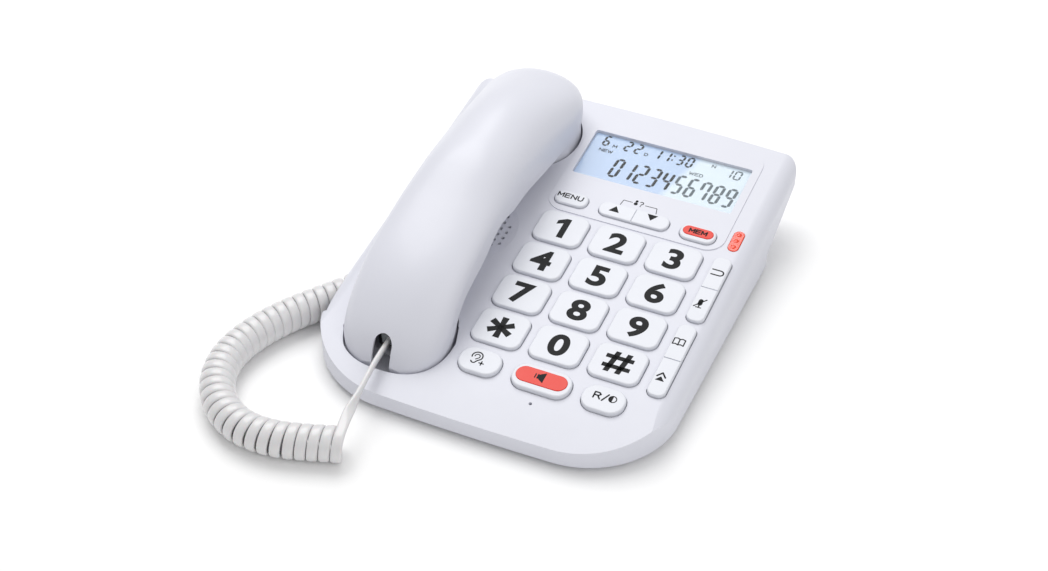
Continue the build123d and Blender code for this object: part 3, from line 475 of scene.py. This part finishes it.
def make_digits():
    for n, name in enumerate(DIGIT_NAMES):
        x, s, body = KEYPAD_X + COLUMN_PITCH * (n % 3), -ROW_PITCH * (n // 3), f"key_{name}"
        if name == "star":
            legend("legend_star", body, star_shapes(STAR_RADIUS, BAR_WIDTH), x, s, 0.0)
        elif name == "1":
            legend("legend_1", body, [ONE], x, s, 0.0)
        elif name == "hash":
            legend("legend_hash", body, hash_shapes(HASH_SIZE, BAR_WIDTH, HASH_SLANT), x, s, 0.0)
        else:
            glyph(f"legend_{name}", body, name, x, s)


make_digits()

CAP_TOP = 0.3
SHELL_FACE = -1.35
FRONT_ROW = -90.4


def rear_row_legends():
    word("legend_menu", "menu_key", "MENU", -6.6, 21.6, 0.0, 2.7, 0.62)
    word("legend_mem", "memory_key", "MEM", 60.0, 21.0, CAP_TOP, 2.4, 0.7)
    up = [(-2.7, -1.9), (2.7, -1.9), (0, 2.1)]
    down = [(2.7, 1.9), (-2.7, 1.9), (0, -2.1)]
    legend("legend_up", "navigation_rocker", [up], 16.9, 21.3, 0.0)
    legend("legend_down", "navigation_rocker", [down], 35.6, 22.2, 0.0)


def side_legends():
    back = [(-2.2, 1.9), (2.2, 1.9), *arc(2.0, 0.3, 1.6, 80, -80, 8), (-2.0, -1.3)]
    legend("legend_return", "side_rocker_rear", stroke(back, 0.7), 77.0, -1.0, 0.0)
    mic = [disc(0, 1.4, 1.1), [(-1.1, -0.6), (1.1, -0.6), (1.1, 1.4), (-1.1, 1.4)], disc(0, -0.6, 1.1)]
    mic += stroke([(-2.3, -2.6), (2.3, 2.8)], 0.6) + stroke([(0, -1.6), (0, -2.9)], 0.6)
    mic += stroke([(-1.2, -2.9), (1.2, -2.9)], 0.55)
    legend("legend_mute", "side_rocker_rear", mic, 76.9, -21.7, 0.0)
    book = stroke([(0, 1.6), (0, -1.9)], 0.6)
    for side in (-1, 1):
        page = [(0, 1.6), (side * 1.2, 2.1), (side * 2.6, 1.7), (side * 2.6, -1.8), (side * 1.2, -1.4),
                (0, -1.9)]
        book += stroke(page, 0.6)
    legend("legend_book", "side_rocker_front", book, 76.4, -47.7, 0.0)
    rise = [[(-2.2, -2.3), (2.2, -2.3), (0, 0.3)]] + stroke([(-2.0, 0.1), (0, 2.5), (2.0, 0.1)], 0.8)
    legend("legend_redial", "side_rocker_front", rise, 76.4, -70.1, 0.0)


def front_row_legends():
    ear = stroke([*arc(0, 0.9, 2.5, 200, -30, 16), (0.9, -1.6), *arc(-0.7, -2.0, 1.2, -10, -160, 6)], 0.62)
    ear += stroke([*arc(0, 0.9, 1.2, 190, -40, 10), (-0.2, -0.9)], 0.5)
    ear += stroke([(2.2, -2.4), (4.4, -2.4)], 0.6) + stroke([(3.3, -1.3), (3.3, -3.5)], 0.6)
    legend("legend_boost", "volume_boost_key", ear, -5.0, FRONT_ROW, 0.0)
    horn = [[(-0.6, -1.3), (0.6, -1.3), (0.6, 1.3), (-0.6, 1.3)],
            [(0.6, -1.6), (3.0, -3.0), (3.0, 3.0), (0.6, 1.6)]]
    horn += stroke([(-1.5, -1.1), (-1.5, 1.1)], 0.55)
    legend("legend_speaker", "speaker_key", horn, 25.6, FRONT_ROW, CAP_TOP)
    word("legend_recall", "recall_key", "R/", 55.8, FRONT_ROW, 0.0, 3.4, 0.75)
    half = stroke(arc(0, 0, 1.75, 0, 360, 28), 0.5) + [arc(0, 0, 1.75, 90, 270, 16)]
    legend("legend_contrast", "recall_key", half, 61.4, FRONT_ROW + 0.2, 0.0)


def shell_legend():
    """The guide lines and marks above the navigation rocker."""
    guide = stroke([(17.5, 26.4), (18.0, 30.0), (22.5, 30.0)], 0.35)
    guide += stroke([(29.3, 30.0), (35.3, 30.1), (36.2, 26.4)], 0.35)
    guide += [disc(24.4, 31.4, 0.75), disc(24.4, 29.6, 1.0, 16)]
    guide += stroke(arc(27.1, 30.9, 0.85, 150, -80, 8) + [(27.1, 29.4)], 0.45) + [disc(27.1, 28.6, 0.3, 10)]
    legend("legend_rows", "base", guide, 0, 0, SHELL_FACE)


rear_row_legends()
side_legends()
front_row_legends()
shell_legend()


# ---- display ----------------------------------------------------------------------------------
LCD_H = -3.06
LCD_BOTTOM = -3.18
GLASS_BOTTOM, GLASS_TOP = -2.98, -2.8
LCD_LEFT, LCD_RIGHT, LCD_FRONT, LCD_REAR = -13.7, 69.4, 39.95, 72.65
LEAN = 0.085
PRINT_THICK = 0.03
LCD_GLOW = 0.06
# The slanted edge of the painted glare: how far it leans, and where along X it starts and ends, in metres.
GLARE_EDGE_LEAN = -0.30
GLARE_EDGE_START, GLARE_EDGE_END = 0.0125, 0.0185
DATE_AND_TIME = (("6", -8.7), ("2", 2.9), ("2", 8.4), ("1", 18.7), ("1", 23.7), ("3", 31.0), ("0", 35.9))
CALL_COUNT = (("1", 56.4), ("0", 61.2))
SEGMENTS = {"0": "abcdef", "1": "bc", "2": "abged", "3": "abgcd", "4": "fgbc", "5": "afgcd",
            "6": "afgedc", "7": "abcf", "8": "abcdefg", "9": "abfgcd"}


def seven_segments(digit, x, s, width, height, bar, slant):
    """The lit bars of one digit, its lower left corner at (x, s), leaning right by slant."""
    gap, half = bar * 0.12, height / 2
    cut = bar * 0.5

    def bar_h(y):
        return [(gap + cut, y), (gap + bar, y + cut), (width - gap - bar, y + cut), (width - gap - cut, y),
                (width - gap - bar, y - cut), (gap + bar, y - cut)]

    def bar_v(px, y0, y1):
        return [(px, y0 + gap), (px + cut, y0 + gap + cut), (px + cut, y1 - gap - cut), (px, y1 - gap),
                (px - cut, y1 - gap - cut), (px - cut, y0 + gap + cut)]

    made = {"a": bar_h(height - cut), "g": bar_h(half), "d": bar_h(cut),
            "f": bar_v(cut, half, height - cut), "e": bar_v(cut, cut, half),
            "b": bar_v(width - cut, half, height - cut), "c": bar_v(width - cut, cut, half)}
    return [[(x + px + py * slant, s + py) for px, py in made[k]] for k in SEGMENTS[digit]]


def lcd_material():
    """Blue at the left, fading over a slanted edge to paler blue at the right, all of it glowing faintly;
    the paler right is a painted reflection of glare on the display window.
    """
    material = surface("liquid crystal", srgb(196, 212, 232), 0.25, grain=0.3, bump=0.02, coat=0.3)
    tree = material.node_tree
    shader = tree.nodes["Principled BSDF"]
    place = tree.nodes.new("ShaderNodeTexCoord")
    split = tree.nodes.new("ShaderNodeSeparateXYZ")
    tree.links.new(place.outputs["Object"], split.inputs["Vector"])
    lean = tree.nodes.new("ShaderNodeMath")
    lean.operation = "MULTIPLY_ADD"
    lean.inputs[1].default_value = GLARE_EDGE_LEAN
    tree.links.new(split.outputs["Y"], lean.inputs[0])
    tree.links.new(split.outputs["X"], lean.inputs[2])
    fade = tree.nodes.new("ShaderNodeMapRange")
    fade.inputs["From Min"].default_value = GLARE_EDGE_START
    fade.inputs["From Max"].default_value = GLARE_EDGE_END
    fade.interpolation_type = "SMOOTHSTEP"
    tree.links.new(lean.outputs["Value"], fade.inputs["Value"])
    mix = tree.nodes.new("ShaderNodeMix")
    mix.data_type = "RGBA"
    # Colour B is the painted reflection of glare on the window, over the display's right part.
    mix.inputs["A"].default_value = srgb(168, 190, 220)
    mix.inputs["B"].default_value = srgb(204, 218, 228)
    tree.links.new(fade.outputs["Result"], mix.inputs["Factor"])
    tree.links.new(mix.outputs["Result"], shader.inputs["Base Color"])
    tree.links.new(mix.outputs["Result"], shader.inputs["Emission Color"])
    shader.inputs["Emission Strength"].default_value = LCD_GLOW
    return material


lcd = lcd_material()
paint(lcd, "lcd_module")


def slab(name, low, high, material):
    """A flat block as large as the display, between two heights of the slope frame."""
    outline = ((LCD_LEFT, LCD_FRONT), (LCD_RIGHT, LCD_FRONT), (LCD_RIGHT, LCD_REAR), (LCD_LEFT, LCD_REAR))
    corners = [(x, s, h) for h in (low, high) for x, s in outline]
    faces = [(3, 2, 1, 0), (4, 5, 6, 7), (0, 1, 5, 4), (1, 2, 6, 5), (2, 3, 7, 6), (3, 0, 4, 7)]
    obj = new_mesh(name, corners, faces, material, SLOPE)
    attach(obj, "base")
    return obj


def make_display():
    picture = slab("lcd_picture", LCD_BOTTOM, LCD_H, lcd)
    glass = slab("display_glass", GLASS_BOTTOM, GLASS_TOP, window_clear)
    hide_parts("display_window")
    dark, grey = [], []
    for n in range(10):
        # The right five digits sit under the painted glare, so they are grey.
        row = dark if n < 5 else grey
        row += seven_segments(str(n), 2.3 + 6.6 * n, 44.4, 5.1, 14.1, 1.5, LEAN)
    for digit, x in DATE_AND_TIME:
        dark += seven_segments(digit, x, 64.5, 3.7, 7.7, 1.1, LEAN)
    for digit, x in CALL_COUNT:
        grey += seven_segments(digit, x, 64.6, 3.8, 6.6, 0.85, LEAN)
    dark += [disc(29.3, 70.1, 0.55, 12), disc(29.0, 66.9, 0.55, 12)]
    legend("lcd_digits_dark", "base", dark, 0, 0, LCD_H, lcd_segment_dark, PRINT_THICK)
    legend("lcd_digits_grey", "base", grey, 0, 0, LCD_H, lcd_segment_grey_under_glare, PRINT_THICK)
    for name, text, x, s, material in (("month", "M", -1.4, 65.9, lcd_segment_dark),
                                       ("day", "D", 15.4, 66.0, lcd_segment_dark),
                                       ("new", "NEW", -4.5, 61.4, lcd_segment_dark),
                                       ("weekday", "WED", 43.8, 61.4, lcd_segment_grey_under_glare),
                                       ("number", "N", 50.1, 70.0, lcd_segment_grey_under_glare)):
        word("lcd_" + name, "base", text, x, s, LCD_H, 1.9, 0.42, material)


make_display()


# ---- studio -----------------------------------------------------------------------------------
FLOOR_REACH = 12.0
SKY_STRENGTH = 0.55
# Name, place, size and power of each lamp, all aimed at the row frame's origin.
LAMPS = [("key_light", (-0.5, 0.5, 1.3), 1.2, 14), ("fill_light", (0.9, -0.5, 1.0), 1.0, 3)]


def make_studio():
    floor_material = bpy.data.materials.new("floor white")
    floor_material.use_nodes = True
    shader = floor_material.node_tree.nodes["Principled BSDF"]
    shader.inputs["Base Color"].default_value = (0.99, 0.99, 0.99, 1)
    shader.inputs["Roughness"].default_value = 0.9
    shader.inputs["Specular IOR Level"].default_value = 0.1
    corners = [(x * FLOOR_REACH, y * FLOOR_REACH, 0) for x, y in ((-1, -1), (1, -1), (1, 1), (-1, 1))]
    floor = new_mesh("floor", corners, [(0, 1, 2, 3)], floor_material)
    world = bpy.data.worlds.new("world")
    scene.world = world
    world.use_nodes = True
    sky = world.node_tree.nodes["Background"]
    sky.inputs["Color"].default_value = (1.0, 1.0, 1.0, 1)
    sky.inputs["Strength"].default_value = SKY_STRENGTH
    for name, place, size, power in LAMPS:
        data = bpy.data.lights.new(name, "AREA")
        data.size = size
        data.energy = power
        light = bpy.data.objects.new(name, data)
        scene.collection.objects.link(light)
        light.location = place
        light.rotation_euler = (-Vector(place)).to_track_quat("-Z", "Y").to_euler()
    scene.view_settings.view_transform = "Standard"


make_studio()
